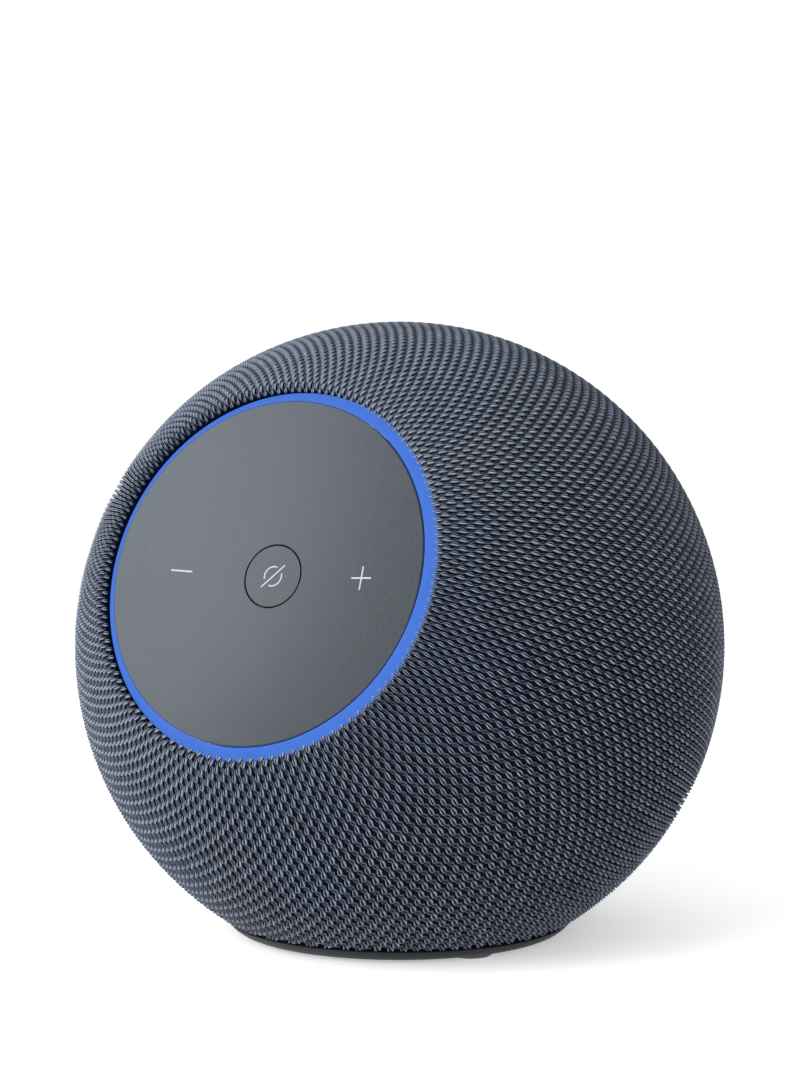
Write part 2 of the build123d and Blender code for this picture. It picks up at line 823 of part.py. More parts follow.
nodes = {
    "knit_cover": knit_cover(),
    "front_shell": front_shell(),
    "rear_shell": rear_shell(),
    "base": base(),
    "rubber_feet": rubber_feet(),
    "service_cover": service_cover(),
    "base_screws": base_screws(),
    "control_plate": control_plate(),
    "light_ring": light_ring(),
    "ring_reflector": ring_reflector(),
    "face_chassis": face_chassis(),
    "chassis_screws": chassis_screws(),
    "control_board": control_board(),
    "ring_leds": ring_leds(),
    "microphones": microphones(),
    "touch_pads": touch_pads(),
    "touch_foam": touch_foam(),
    "mute_key": mute_key(),
    "switch_plunger": switch_plunger(),
    "tact_switch": tact_switch(),
    "inlet_bezel": inlet_bezel(),
    "dc_jack": dc_jack(),
    "jack_board": jack_board(),
    "acoustic_chamber": acoustic_chamber(),
    "driver_basket": driver_basket(),
    "driver_screws": driver_screws(),
    "top_plate": top_plate(),
    "driver_magnet": driver_magnet(),
    "driver_yoke": driver_yoke(),
    "driver_cone": driver_cone(),
    "coil_former": coil_former(),
    "voice_coil": voice_coil(),
    "dust_cap": dust_cap(),
    "driver_surround": driver_surround(),
    "driver_gasket": driver_gasket(),
    "driver_spider": driver_spider(),
    "main_board": main_board(),
    "board_posts": board_posts(),
    "board_screws": board_screws(),
    "processor_shield": processor_shield(),
    "capacitors": capacitors(),
    "board_parts": board_parts(),
    "wifi_antennas": wifi_antennas(),
    "ribbon_cable": ribbon_cable(),
}
for side, frame in (("left", left_frame), ("right", right_frame)):
    nodes[side + "_radiator_frame"] = radiator_frame(frame)
    nodes[side + "_radiator"] = radiator_plate(frame)
    nodes[side + "_radiator_surround"] = radiator_surround(frame)

os.makedirs("parts", exist_ok=True)
for name, shape in nodes.items():
    export_step(shape, f"parts/{name}.step")
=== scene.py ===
import json
import math

import bpy
import numpy as np
from mathutils import Matrix, Vector


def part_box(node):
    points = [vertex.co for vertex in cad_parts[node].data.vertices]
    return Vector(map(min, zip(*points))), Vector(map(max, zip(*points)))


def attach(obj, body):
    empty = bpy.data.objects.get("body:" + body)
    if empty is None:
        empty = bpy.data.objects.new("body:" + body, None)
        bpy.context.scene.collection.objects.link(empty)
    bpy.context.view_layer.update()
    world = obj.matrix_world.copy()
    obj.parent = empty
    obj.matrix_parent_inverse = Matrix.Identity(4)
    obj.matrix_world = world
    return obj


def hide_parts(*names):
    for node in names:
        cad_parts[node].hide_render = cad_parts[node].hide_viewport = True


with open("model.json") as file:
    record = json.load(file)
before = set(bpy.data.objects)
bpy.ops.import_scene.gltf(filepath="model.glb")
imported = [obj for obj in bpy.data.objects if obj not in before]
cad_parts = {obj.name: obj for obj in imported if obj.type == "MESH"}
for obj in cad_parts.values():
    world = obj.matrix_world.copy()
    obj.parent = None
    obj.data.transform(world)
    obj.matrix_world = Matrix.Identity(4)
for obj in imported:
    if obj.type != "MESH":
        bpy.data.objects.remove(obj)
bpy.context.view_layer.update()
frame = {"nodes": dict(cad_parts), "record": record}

mm = 0.001
nodes = frame["nodes"]
joints = {joint["name"]: joint for joint in frame["record"]["behaviour"]["joints"]}


# ---- where things are, read from the frame ----

def span(node, axis):
    low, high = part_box(node)
    return high[axis] - low[axis]


def readPlaces():
    low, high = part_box("knit_cover")
    radius = (high[0] - low[0]) / 2
    inward = Vector(joints["mute_key_press"]["axis"]).normalized()
    face = -inward
    side = Vector((1, 0, 0))
    up = face.cross(side)
    centre = Vector((0, 0, high[2] - radius))
    turn = Matrix((side, up, face)).transposed().to_4x4()
    return {
        "radius": radius, "centre": centre, "face": face, "up": up,
        "faceFrame": Matrix.Translation(centre) @ turn,
        "hemHeight": low[2],
        "plateRadius": span("control_plate", 0) / 2,
        "keyRadius": 4.9 * mm,
        "ringOuter": span("light_ring", 0) / 2,
        "bezelRadius": span("inlet_bezel", 0) / 2,
    }


place = readPlaces()


# ---- shader maths ----

class Wire:
    # one socket's output, with the operators of ordinary maths
    def __init__(self, bench, socket):
        self.bench, self.socket = bench, socket

    def maths(self, operation, first, second=0.0):
        return self.bench.node("ShaderNodeMath", {"operation": operation}, {0: first, 1: second})

    def __add__(self, other):
        return self.maths("ADD", self, other)

    def __radd__(self, other):
        return self.maths("ADD", other, self)

    def __sub__(self, other):
        return self.maths("SUBTRACT", self, other)

    def __rsub__(self, other):
        return self.maths("SUBTRACT", other, self)

    def __mul__(self, other):
        return self.maths("MULTIPLY", self, other)

    def __rmul__(self, other):
        return self.maths("MULTIPLY", other, self)

    def absolute(self):
        return self.maths("ABSOLUTE", self)


class Bench:
    # a material being made; every node but the Math ones comes from node()
    def __init__(self, name, tree=None):
        if tree is None:
            self.material = bpy.data.materials.new(name)
            self.material.use_nodes = True
            tree = self.material.node_tree
        self.tree = tree
        self.shader = next(node for node in tree.nodes
                           if node.type in ("BSDF_PRINCIPLED", "BACKGROUND"))

    def node(self, kind, settings=None, inputs=None, output=0):
        made = self.tree.nodes.new(kind)
        for key, value in (settings or {}).items():
            setattr(made, key, value)
        for key, value in (inputs or {}).items():
            self.join(value, made.inputs[key])
        return Wire(self, made.outputs[output])

    def join(self, value, socket):
        if isinstance(value, Wire):
            self.tree.links.new(value.socket, socket)
        else:
            socket.default_value = value

    def coords(self):
        return self.node("ShaderNodeTexCoord", output="Object")

    def parts(self, vector):
        split = self.node("ShaderNodeSeparateXYZ", {}, {"Vector": vector}).socket.node
        return [Wire(self, split.outputs[axis]) for axis in "XYZ"]

    def noise(self, scale, detail=4.0, roughness=0.5, vector=None):
        vector = vector or self.coords()
        return self.node("ShaderNodeTexNoise", {}, {"Vector": vector, "Scale": scale,
                         "Detail": detail, "Roughness": roughness}, "Fac")

    def blend(self, amount, first, second):
        return self.node("ShaderNodeMix", {"data_type": "RGBA", "clamp_factor": True},
                         {0: amount, 6: first, 7: second}, 2)

    def remap(self, value, low, high, toLow, toHigh):
        return self.node("ShaderNodeMapRange", {"clamp": True},
                         {"Value": value, "From Min": low, "From Max": high,
                          "To Min": toLow, "To Max": toHigh})

    def bump(self, height, distance, strength):
        return self.node("ShaderNodeBump", {}, {"Height": height, "Distance": distance,
                                                "Strength": strength})

    def finish(self, **values):
        names = {"color": "Base Color", "roughness": "Roughness", "metallic": "Metallic",
                 "normal": "Normal", "emission": "Emission Color",
                 "emissionStrength": "Emission Strength", "specular": "Specular IOR Level",
                 "specularTint": "Specular Tint", "sheen": "Sheen Weight",
                 "sheenRoughness": "Sheen Roughness"}
        for key, value in values.items():
            self.join(value, self.shader.inputs[names[key]])
        return self.material


def grey(level):
    return (level, level, level, 1)


def tint(color, factor):
    return tuple(min(1, part * factor) for part in color[:3]) + (1,)


# ---- camera, light, floor ----

view = {"azimuth": 29.9, "elevation": 5.6, "distance": 7.5, "lens": 81.6,
        "shiftX": 0.0005, "shiftY": 0.1061}


def addCamera():
    back = awayFrom(view["azimuth"], view["elevation"])
    camera = bpy.data.objects.new("camera", bpy.data.cameras.new("camera"))
    bpy.context.scene.collection.objects.link(camera)
    camera.location = place["centre"] + back * view["distance"] * place["radius"]
    camera.rotation_euler = back.to_track_quat("Z", "Y").to_euler()
    camera.data.lens = view["lens"]
    camera.data.shift_x, camera.data.shift_y = view["shiftX"], view["shiftY"]
    camera.data.clip_start = 0.01
    bpy.context.scene.camera = camera


lamps = {
    # azimuth and elevation in degrees, distance and size in ball radii, watts
    "key": (-16, 30, 9, 7, 2.35),
    "left": (-112, 14, 9, 8, 0.75),
    "front": (24, 2, 9, 5, 1.25),
}
sky = {
    "strength": 1.05,
    "right": 0.85,              # how far it darkens to the right, and over what part
    "rightSpan": (0.25, 0.95),
    "overhead": 0.55,           # the same for overhead
    "overheadSpan": (0.3, 1.0),
}
floorLook = {"size": 400, "color": (0.97, 0.97, 0.97, 1), "glow": 0.42, "roughness": 0.9,
             "gloss": 0.1, "paper": 3.0}     # size in ball radii


def awayFrom(azimuth, elevation):
    # direction out of the ball: azimuth 0 is the front, towards -Y
    a, e = math.radians(azimuth), math.radians(elevation)
    return Vector((math.sin(a) * math.cos(e), -math.cos(a) * math.cos(e), math.sin(e)))


def addLamps():
    for name, (azimuth, elevation, distance, size, watts) in lamps.items():
        out = awayFrom(azimuth, elevation)
        lamp = bpy.data.objects.new(name, bpy.data.lights.new(name, "AREA"))
        bpy.context.scene.collection.objects.link(lamp)
        lamp.location = place["centre"] + out * distance * place["radius"]
        lamp.rotation_euler = out.to_track_quat("Z", "Y").to_euler()
        lamp.data.size = size * place["radius"]
        lamp.data.energy = watts
    bpy.context.scene.world = studioSky()


def studioSky():
    # white all round, with less light from overhead and from the right
    world = bpy.data.worlds.new("studio")
    world.use_nodes = True
    bench = Bench(world.name, world.node_tree)
    across, _, height = bench.parts(bench.node("ShaderNodeTexCoord", output="Generated"))
    right = bench.remap(across, *sky["rightSpan"], 0, 1)
    overhead = bench.remap(height, *sky["overheadSpan"], 0, 1)
    shade = (1 - sky["right"] * right) * (1 - sky["overhead"] * overhead)
    bench.join(bench.blend(shade, grey(0), grey(1)), bench.shader.inputs["Color"])
    bench.join(sky["strength"], bench.shader.inputs["Strength"])
    return world


def addFloor():
    clearSelection()
    bpy.ops.mesh.primitive_plane_add(size=floorLook["size"] * place["radius"])
    floor = bpy.context.active_object
    floor.name = floor.data.name = "floor"
    bench = Bench("paleFloor")
    pale = floorLook["color"]
    color = bench.blend(bench.noise(floorLook["paper"], 2.0), tint(pale, 0.99), pale)
    floor.data.materials.append(bench.finish(
        color=color, roughness=floorLook["roughness"], specular=floorLook["gloss"],
        emission=pale, emissionStrength=floorLook["glow"]))


# ---- materials ----

knitLook = {
    "yarn": (0.215, 0.242, 0.302, 1), "cool": (0.195, 0.238, 0.316, 1),
    # deep is painted shade for the slits, the feet and the necks of the stitches; the backing
    # colour is near-black painted shade seen through the holes
    "deep": (0.003, 0.005, 0.010, 1), "backing": (0.004, 0.006, 0.012, 1),
    "crest": 0.60,              # where the painted highlight runs on a strand, from its slit to its foot
    "crestFade": (0.12, 0.35),
    "leafFade": (0.32, 0.66),   # where along a stitch painted shade sets in towards its ends
    "link": 0.42,               # painted shade: brightness of the yarn in the hollow between two stitches
    "fluff": 4200.0, "cloud": 60.0, "gloss": 0.08, "sheen": 0.04,
}


def knitYarn():
    bench = Bench("knitYarn")
    strand = bench.node("ShaderNodeAttribute", {"attribute_name": "strand"}, output="Vector")
    # the third part carries each stitch's random tone and the painted shade away from the lip
    across, phase, shade = bench.parts(strand)
    # painted highlight along each strand's crest, painted shade in its slit and at its feet
    fromHighlight = (across.absolute() - knitLook["crest"]).absolute()
    ridgeHighlight = 1 - bench.remap(fromHighlight, *knitLook["crestFade"], 0, 1)
    # painted shade towards each stitch's ends, dimmed to link in the necks between stitches
    midStitchLight = 1 - bench.remap(phase, *knitLook["leafFade"], 0, 1)
    fluff = bench.noise(knitLook["fluff"], 2.0, 0.7)
    cloud = bench.noise(knitLook["cloud"], 3.0)
    along = knitLook["link"] + (1 - knitLook["link"]) * midStitchLight
    # painted highlight and shade, times each stitch's tone and the fibre fluff; where it falls off
    # the colour goes to deep, the painted shade
    amount = ridgeHighlight * along * (0.80 + 0.40 * shade) * (0.55 + 0.9 * fluff)
    yarn = bench.blend(bench.remap(cloud, 0.3, 0.7, 0, 1), knitLook["yarn"], knitLook["cool"])
    color = bench.blend(amount, knitLook["deep"], yarn)
    return bench.finish(color=color, roughness=bench.remap(fluff, 0.3, 0.7, 0.6, 0.8),
                        normal=bench.bump(fluff, 0.05 * mm, 0.5), specular=knitLook["gloss"],
                        sheen=knitLook["sheen"], sheenRoughness=0.4)


def knitBackingLook():
    # a near-black sheet: painted shade seen through the knit's holes and down the lip's inner wall
    bench = Bench("knitBacking")
    grain = bench.noise(2600.0, 3.0)
    color = bench.blend(grain, tint(knitLook["backing"], 0.6), tint(knitLook["backing"], 1.5))
    return bench.finish(color=color, roughness=0.9, normal=bench.bump(grain, 0.15 * mm, 0.8),
                        specular=0.0)


def grainyPlastic(name, color, roughness=0.42, grain=4200.0, depth=0.02 * mm,
                  speckle=0.12, uneven=0.05, gloss=grey(1)):
    # satin moulded plastic with a fine spark-eroded grain
    bench = Bench(name)
    fine = bench.noise(grain, 2.0, 0.6)
    broad = bench.noise(45.0, 3.0)
    worn = bench.remap(broad, 0.3, 0.7, 0.97, 1.03)
    shade = bench.blend(bench.remap(fine, 0.3, 0.7, 0, 1), tint(color, 1 - speckle),
                        tint(color, 1 + speckle))
    rough = bench.remap(fine, 0.3, 0.7, roughness - uneven, roughness + uneven) * worn
    return bench.finish(color=shade, roughness=rough, normal=bench.bump(fine, depth, 0.5),
                        specularTint=gloss)


ringLook = {"low": (0.066, 0.190, 0.72, 1), "high": (0.074, 0.205, 0.76, 1), "glow": 0.96,
            "unlit": (0.001, 0.003, 0.01, 1), "haze": 160.0}
markLook = {"low": (0.27, 0.275, 0.34, 1), "high": (0.33, 0.335, 0.40, 1), "grain": 6000.0}


def litGuide():
    bench = Bench("lightGuide")
    haze = bench.noise(ringLook["haze"], 2.0)
    glow = bench.blend(bench.remap(haze, 0.3, 0.7, 0, 1), ringLook["low"], ringLook["high"])
    return bench.finish(color=ringLook["unlit"], emission=glow,
                        emissionStrength=ringLook["glow"],
                        roughness=bench.remap(haze, 0.3, 0.7, 0.5, 0.6), specular=0.05)


def printedMark():
    bench = Bench("printedMark")
    fine = bench.noise(markLook["grain"], 2.0)
    color = bench.blend(fine, markLook["low"], markLook["high"])
    return bench.finish(color=color, roughness=bench.remap(fine, 0.3, 0.7, 0.4, 0.5))


def rubberLook(name, color):
    bench = Bench(name)
    fine = bench.noise(1800.0, 3.0)
    shade = bench.blend(fine, tint(color, 0.8), tint(color, 1.25))
    return bench.finish(color=shade, roughness=bench.remap(fine, 0.3, 0.7, 0.7, 0.85),
                        normal=bench.bump(fine, 0.03 * mm, 0.5))


def metalLook(name, color, roughness=0.3):
    bench = Bench(name)
    brushed = bench.noise(900.0, 3.0)
    shade = bench.blend(brushed, tint(color, 0.85), tint(color, 1.1))
    return bench.finish(color=shade, metallic=1.0,
                        roughness=bench.remap(brushed, 0.3, 0.7, roughness - 0.08,
                                              roughness + 0.12),
                        normal=bench.bump(brushed, 0.01 * mm, 0.4))


def fibreLook(name, color):
    bench = Bench(name)
    pulp = bench.noise(1500.0, 5.0, 0.65)
    shade = bench.blend(pulp, tint(color, 0.7), tint(color, 1.3))
    return bench.finish(color=shade, roughness=bench.remap(pulp, 0.3, 0.7, 0.8, 0.95),
                        normal=bench.bump(pulp, 0.06 * mm, 0.6))


plastics = {
    "face_plastic": {"color": (0.014, 0.0175, 0.0215, 1), "roughness": 0.38,
                     "grain": 3400.0, "depth": 0.025 * mm, "speckle": 0.35, "uneven": 0.07,
                     "gloss": (0.84, 0.91, 1, 1)},
    "base_plastic": {"color": (0.012, 0.013, 0.016, 1), "roughness": 0.55,
                     "gloss": (0.30, 0.32, 0.36, 1)},
}
makers = {"fabric": fibreLook, "paper": fibreLook, "rubber": rubberLook,
          "brushed_steel": metalLook, "brass": metalLook, "aluminium": metalLook,
          "chrome": metalLook}


def makeMaterials():
    made = {"knit": knitYarn(), "backing": knitBackingLook(), "light_guide": litGuide(),
            "mark": printedMark()}
    for slot, values in plastics.items():
        made[slot] = grainyPlastic(slot, **values)
    for row in frame["record"]["materials"]:
        if row["slot"] not in made:
            maker = makers.get(row["class"], grainyPlastic)
            made[row["slot"]] = maker(row["slot"], tuple(row["base_color"][:3]) + (1,))
    return made


look = makeMaterials()
for row in frame["record"]["subparts"]:
    node = nodes[row["node"]]
    node.data.materials.clear()
    node.data.materials.append(look[row["material_slot"]])
print("materials made:", len(look))


# ---- modelling helpers ----

def clearSelection():
    bpy.ops.object.select_all(action="DESELECT")


def takeUp(obj):
    clearSelection()
    obj.select_set(True)
    bpy.context.view_layer.objects.active = obj


def settle(obj, where):
    # puts a piece in its place and leaves its object at the origin
    takeUp(obj)
    obj.matrix_world = where
    bpy.ops.object.transform_apply(location=True, rotation=True, scale=True)


def smooth(obj, angle=35):
    takeUp(obj)
    bpy.ops.object.shade_smooth_by_angle(angle=math.radians(angle))


def turnedPiece(name, outline, where, steps=256, sharp=35):
    # a closed outline of (radius, height) corners, spun about the Z axis
    clearSelection()
    bpy.ops.mesh.primitive_circle_add(vertices=len(outline), radius=1.0)
    obj = bpy.context.active_object
    obj.name = obj.data.name = name
    for vertex, (r, h) in zip(obj.data.vertices, outline):
        vertex.co = (r, 0.0, h)
    bpy.ops.object.mode_set(mode="EDIT")
    bpy.ops.mesh.select_all(action="SELECT")
    bpy.ops.mesh.spin(steps=steps, angle=math.tau, center=(0, 0, 0), axis=(0, 0, 1))
    bpy.ops.mesh.select_all(action="SELECT")
    bpy.ops.mesh.remove_doubles(threshold=0.002 * mm)
    bpy.ops.mesh.normals_make_consistent(inside=False)
    bpy.ops.object.mode_set(mode="OBJECT")
    settle(obj, where)
    smooth(obj, sharp)
    return obj


def cutAway(obj, cutter):
    takeUp(obj)
    cutting = obj.modifiers.new("cut", "BOOLEAN")
    cutting.operation, cutting.object, cutting.solver = "DIFFERENCE", cutter, "EXACT"
    bpy.ops.object.modifier_apply(modifier=cutting.name)
    bpy.data.objects.remove(cutter, do_unlink=True)


def give(obj, material, body, slot, *replaced):
    obj.data.materials.clear()
    obj.data.materials.append(look[material])
    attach(obj, body)
    if replaced:
        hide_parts(*replaced)
    return obj


def arcPoints(centre, radius, start, end, count):
    angles = [math.radians(start + (end - start) * i / count) for i in range(count + 1)]
    return [(centre[0] + radius * math.cos(a), centre[1] + radius * math.sin(a))
            for a in angles]


# ---- knit cover ----

knit = {
    "columns": 268,             # a multiple of four, so that neighbours stay staggered
    "topExtra": 50.6,           # columns stand closer at the top than below
    "sideExtra": -21.2,
    "repeat": 2.51 * mm,        # one stitch along a column
    "lipRound": 1.45 * mm,
    "lipFacing": 52.0,          # the last stitch looks inwards by this many degrees
    "panels": 6,
    "halfAt": 150.0,            # degrees from the face's axis where every second column ends
    "shade": 0.22,              # how far one stitch differs from the next
    "uneven": 0.05,
    "fuller": 0.28,             # the stretch by the lip eases off and the stitches fill out
    "closer": 0.75,             # and are painted darker there, painted shade
    "fullFrom": 16 * mm,
    "fullAt": 48 * mm,
    "lean": 0.09,               # the stitches lie a little across their column
    "backing": 0.80 * mm,       # depth of the near-black backing's outer and inner face, a painted shade
    "inside": 1.26 * mm,
    "lipGap": 1.65 * mm,        # from the lit ring to where the knit starts to turn in
    "lipDepth": 1.6 * mm,
    "lipWall": 0.5 * mm,
    "lipCut": 0.14,             # how much of the last stitch stands past its middle
    "bezelGap": 0.3 * mm,
    "backingGap": 0.25 * mm,
    "hemReach": 0.3 * mm,
    "hemLift": 0.12 * mm,
    "mostStitches": 90,         # in one column
}

# one stitch, as rows of: phase along it, half width at its foot and between its two
# strands (in column widths), level of the strands, of the foot and of the slit (mm)
stitch = (
    (-0.50, 0.36, 0.24, -0.38, -0.78, 0.30),
    (-0.29, 0.17, 0.08, -0.30, -0.72, 0.06),
    (-0.13, 0.31, 0.185, -0.04, -0.60, 0.30),
    (0.00, 0.35, 0.215, 0.00, -0.56, 0.36),
    (0.13, 0.31, 0.185, -0.04, -0.60, 0.30),
    (0.29, 0.17, 0.08, -0.30, -0.72, 0.06),
)
chance = np.random.default_rng(11)


def columnAngles():
    # angle about the face's axis of each column, from straight up towards +X
    angles = np.linspace(0, math.tau, 7201)
    count = (knit["columns"] * angles + knit["topExtra"] * np.sin(angles)
             + knit["sideExtra"] / 2 * np.sin(2 * angles)) / math.tau
    return np.interp(np.arange(knit["columns"]), count, angles)


def columnPitch(angle):
    # width of a column in radians about the face's axis
    density = (knit["columns"] + knit["topExtra"] * math.cos(angle)
               + knit["sideExtra"] * math.cos(2 * angle))
    return math.tau / density


columnsAt = columnAngles()
lipEdge = place["ringOuter"] + knit["lipGap"]
lipTilt = math.asin(lipEdge / place["radius"])
lipMiddle = (lipEdge - knit["lipRound"] * math.sin(lipTilt),
             (place["radius"] - knit["lipRound"]) * math.cos(lipTilt))
lastStitch = -(lipTilt + math.radians(knit["lipFacing"])) * knit["lipRound"]


def meridian(travel):
    # radius, height and outward direction at a distance past the lip
    ball = place["radius"]
    if travel >= 0:
        a = lipTilt + travel / ball
        return ball * math.sin(a), ball * math.cos(a), math.sin(a), math.cos(a)
    a = lipTilt + travel / knit["lipRound"]
    return (lipMiddle[0] + knit["lipRound"] * math.sin(a),
            lipMiddle[1] + knit["lipRound"] * math.cos(a), math.sin(a), math.cos(a))


def columnRuns(column):
    # unbroken runs of (travel, place in the stitch, count along the column, zone)
    angle, ball = columnsAt[column], place["radius"]
    repeat = knit["repeat"]
    halfAt = (math.radians(knit["halfAt"]) - lipTilt) * ball
    last = (math.pi - math.asin((place["bezelRadius"] + knit["bezelGap"]) / ball) - lipTilt) * ball
    spans = ((1, lastStitch - knit["lipCut"] * repeat, halfAt), (2, halfAt, last))
    runs = []
    for zone, low, high in spans:
        if column % zone:
            continue
        stagger = 0.5 * ((column // zone) % 2)
        run = []
        first = math.floor((low - lastStitch) / repeat)
        for count in range(first, math.ceil((high - lastStitch) / repeat) + 2):
            for row, (phase, *_) in enumerate(stitch):
                travel = lastStitch + (count + phase - stagger) * repeat
                r, h, _, _ = meridian(travel)
                z = (place["centre"].z + h * place["face"].z
                     + r * math.cos(angle) * place["up"].z)
                if low <= travel <= high and z > place["hemHeight"] - knit["hemReach"]:
                    run.append((travel, row, count, zone))
                elif run:
                    runs.append(run)
                    run = []
        if run:
            runs.append(run)
    return [run for run in runs if len(run) > 2]


def stitchRing(travel, row, zone, angle, shade, swell):
    # one section of a stitch: foot, strand, slit, strand, foot
    phase, foot, strand, level, footLevel, slit = stitch[row]
    width = columnPitch(angle) * zone
    slant = knit["lean"] * math.sin(math.tau * phase)
    full = np.interp(travel, (knit["fullFrom"], knit["fullAt"]), (0, 1))
    if zone == 1:
        swell *= 1 + knit["fuller"] * full
    r, h, outR, outH = meridian(travel)
    points, marks = [], []
    for side, across, out in ((-1, foot, footLevel), (-0.5, strand, level),
                              (0, 0, level - slit), (0.5, strand, level), (1, foot, footLevel)):
        a = angle + (math.copysign(across, side) * swell + slant) * width
        rr, hh = r + outR * out * mm, h + outH * out * mm
        points.append((rr * math.sin(a), rr * math.cos(a), hh))
        # third part: the stitch's random tone, less painted shade further from the lip
        marks.append((side, abs(phase) * 2, shade - knit["closer"] * full))
    return points, marks


def knitPanel(index):
    first = knit["columns"] * index // knit["panels"]
    last = knit["columns"] * (index + 1) // knit["panels"]
    points, faces, marks = [], [], []
    for column in range(first, last):
        angle = columnsAt[column]
        shades = chance.normal(0.5, knit["shade"], knit["mostStitches"])
        swells = chance.normal(1.0, knit["uneven"], knit["mostStitches"])
        for run in columnRuns(column):
            base = len(points)
            for travel, row, count, zone in run:
                ring, ringMarks = stitchRing(travel, row, zone, angle, shades[count],
                                             swells[count])
                points.extend(ring)
                marks.extend(ringMarks)
            for i in range(len(run) - 1):
                a, b = base + i * 5, base + (i + 1) * 5
                faces += [(a + j, a + (j + 1) % 5, b + (j + 1) % 5, b + j) for j in range(5)]
            end = base + (len(run) - 1) * 5
            faces += [tuple(range(base + 4, base - 1, -1)), tuple(range(end, end + 5))]
    at = np.array(points)
    at = at @ np.array(place["faceFrame"].to_3x3()).T + np.array(place["centre"])
    mesh = bpy.data.meshes.new(f"knit_wales_{index + 1}")
    mesh.from_pydata(holdHem(at).tolist(), [], faces)
    mark = mesh.attributes.new("strand", "FLOAT_VECTOR", "POINT")
    mark.data.foreach_set("vector", np.array(marks, dtype=np.float32).ravel())
    panel = bpy.data.objects.new(mesh.name, mesh)
    bpy.context.scene.collection.objects.link(panel)
    mesh.shade_smooth()
    return panel


def holdHem(at):
    # nothing hangs below the hem: such points slide out to it over the ball
    centre = np.array(place["centre"])
    low = at[:, 2] < place["hemHeight"]
    away = at[low] - centre
    reach = np.linalg.norm(away, axis=1)
    drop = place["hemHeight"] - centre[2]
    flat = np.hypot(away[:, 0], away[:, 1])
    grow = np.sqrt(np.maximum(reach ** 2 - drop ** 2, 0)) / np.maximum(flat, 1e-9)
    at[low, 0] = centre[0] + away[:, 0] * grow
    at[low, 1] = centre[1] + away[:, 1] * grow
    at[low, 2] = place["hemHeight"]
    return at


def knitBacking():
    # the knit's near-black backing, painted shade seen only through its holes
    ball = place["radius"]
    outer, inner = ball - knit["backing"], ball - knit["inside"]
    end = math.pi - math.asin((place["bezelRadius"] + knit["backingGap"]) / ball)
    sweep = np.linspace(lipTilt, end, 91)
    wall = knit["lipRound"] - knit["backing"]
    bend = [(lipMiddle[0] + wall * math.sin(a), lipMiddle[1] + wall * math.cos(a))
            for a in np.linspace(-math.pi / 2, lipTilt, 9)[:-1]]
    foot = bend[0][1] - knit["lipDepth"]
    outline = [(bend[0][0], foot)] + bend
    outline += [(outer * math.sin(a), outer * math.cos(a)) for a in sweep]
    outline += [(inner * math.sin(a), inner * math.cos(a)) for a in sweep[::-1]]
    outline += [(bend[0][0] + knit["lipWall"], foot)]
    obj = turnedPiece("knit_backing", outline, place["faceFrame"], 192)
    takeUp(obj)
    bpy.ops.object.mode_set(mode="EDIT")
    bpy.ops.mesh.select_all(action="SELECT")
    bpy.ops.mesh.bisect(plane_co=(0, 0, place["hemHeight"] + knit["hemLift"]), plane_no=(0, 0, 1),
                        clear_inner=True, use_fill=False)
    bpy.ops.mesh.select_all(action="DESELECT")
    bpy.ops.mesh.select_mode(type="EDGE")
    bpy.ops.mesh.select_non_manifold(extend=False, use_wire=False, use_boundary=True,
                                     use_multi_face=False, use_non_contiguous=False,
                                     use_verts=False)
    bpy.ops.mesh.bridge_edge_loops()       # closes the shell at the hem
    bpy.ops.mesh.select_mode(type="VERT")
    bpy.ops.mesh.select_all(action="SELECT")
    bpy.ops.mesh.normals_make_consistent(inside=False)
    bpy.ops.object.mode_set(mode="OBJECT")
    return obj


def makeKnit():
    backing = knitBacking()
    give(backing, "backing", "speaker", "knit", "knit_cover")
    panels = [knitPanel(i) for i in range(knit["panels"])]
    for panel in panels:
        give(panel, "knit", "speaker", "knit")
    print("knit made:", sum(len(panel.data.polygons) for panel in panels), "faces")


makeKnit()


# ---- control face ----

face = {
    "plateThickness": 1.6 * mm, "dishDepth": 2.9 * mm, "edge": 0.12 * mm,
    "holeEdge": 0.04 * mm, "keyEdge": 0.04 * mm, "keyGap": 0.22 * mm,
    "keyFlange": (1.2 * mm, 0.8 * mm), "keyFlangeGap": 0.15 * mm, "keyStem": 1.6 * mm,
    "ringGap": 0.2 * mm, "ringDrop": 1.95 * mm, "ringRound": 0.70, "ringCut": 0.05 * mm,
    "markHeight": 0.03 * mm, "markWidth": 0.25 * mm, "keyMarkShare": 0.85,
    "minusLength": 3.7 * mm, "markReach": 16.4 * mm, "slashLength": 5.2 * mm,
    "ringRadius": 1.55 * mm, "slashGap": 52.0,
}


def faceHeight(node, pick):
    # height of a node along the face's axis, from the ball's centre
    out = np.array(place["face"])
    at = np.array([v.co for v in nodes[node].data.vertices]) - np.array(place["centre"])
    return float(pick(at @ out))


dishTop = faceHeight("control_plate", max)
dishCentre = dishTop - face["dishDepth"]
dishCurve = (place["plateRadius"] ** 2 + face["dishDepth"] ** 2) / (2 * face["dishDepth"])


def dish(r):
    # height of the dished face at a radius
    return dishCentre + dishCurve - math.sqrt(dishCurve ** 2 - r ** 2)


def controlPlate():
    hole, edge = place["keyRadius"] + face["keyGap"], place["plateRadius"]
    cut, holeCut = face["edge"], face["holeEdge"]
    radii = np.linspace(hole + holeCut, edge - cut, 29)
    top = [(hole, dish(hole) - holeCut)] + [(r, dish(r)) for r in radii]
    top += [(edge, dish(edge) - cut)]
    bottom = [(r, h - face["plateThickness"]) for r, h in top[::-2]]
    return turnedPiece("dished_plate", top + bottom, place["faceFrame"])


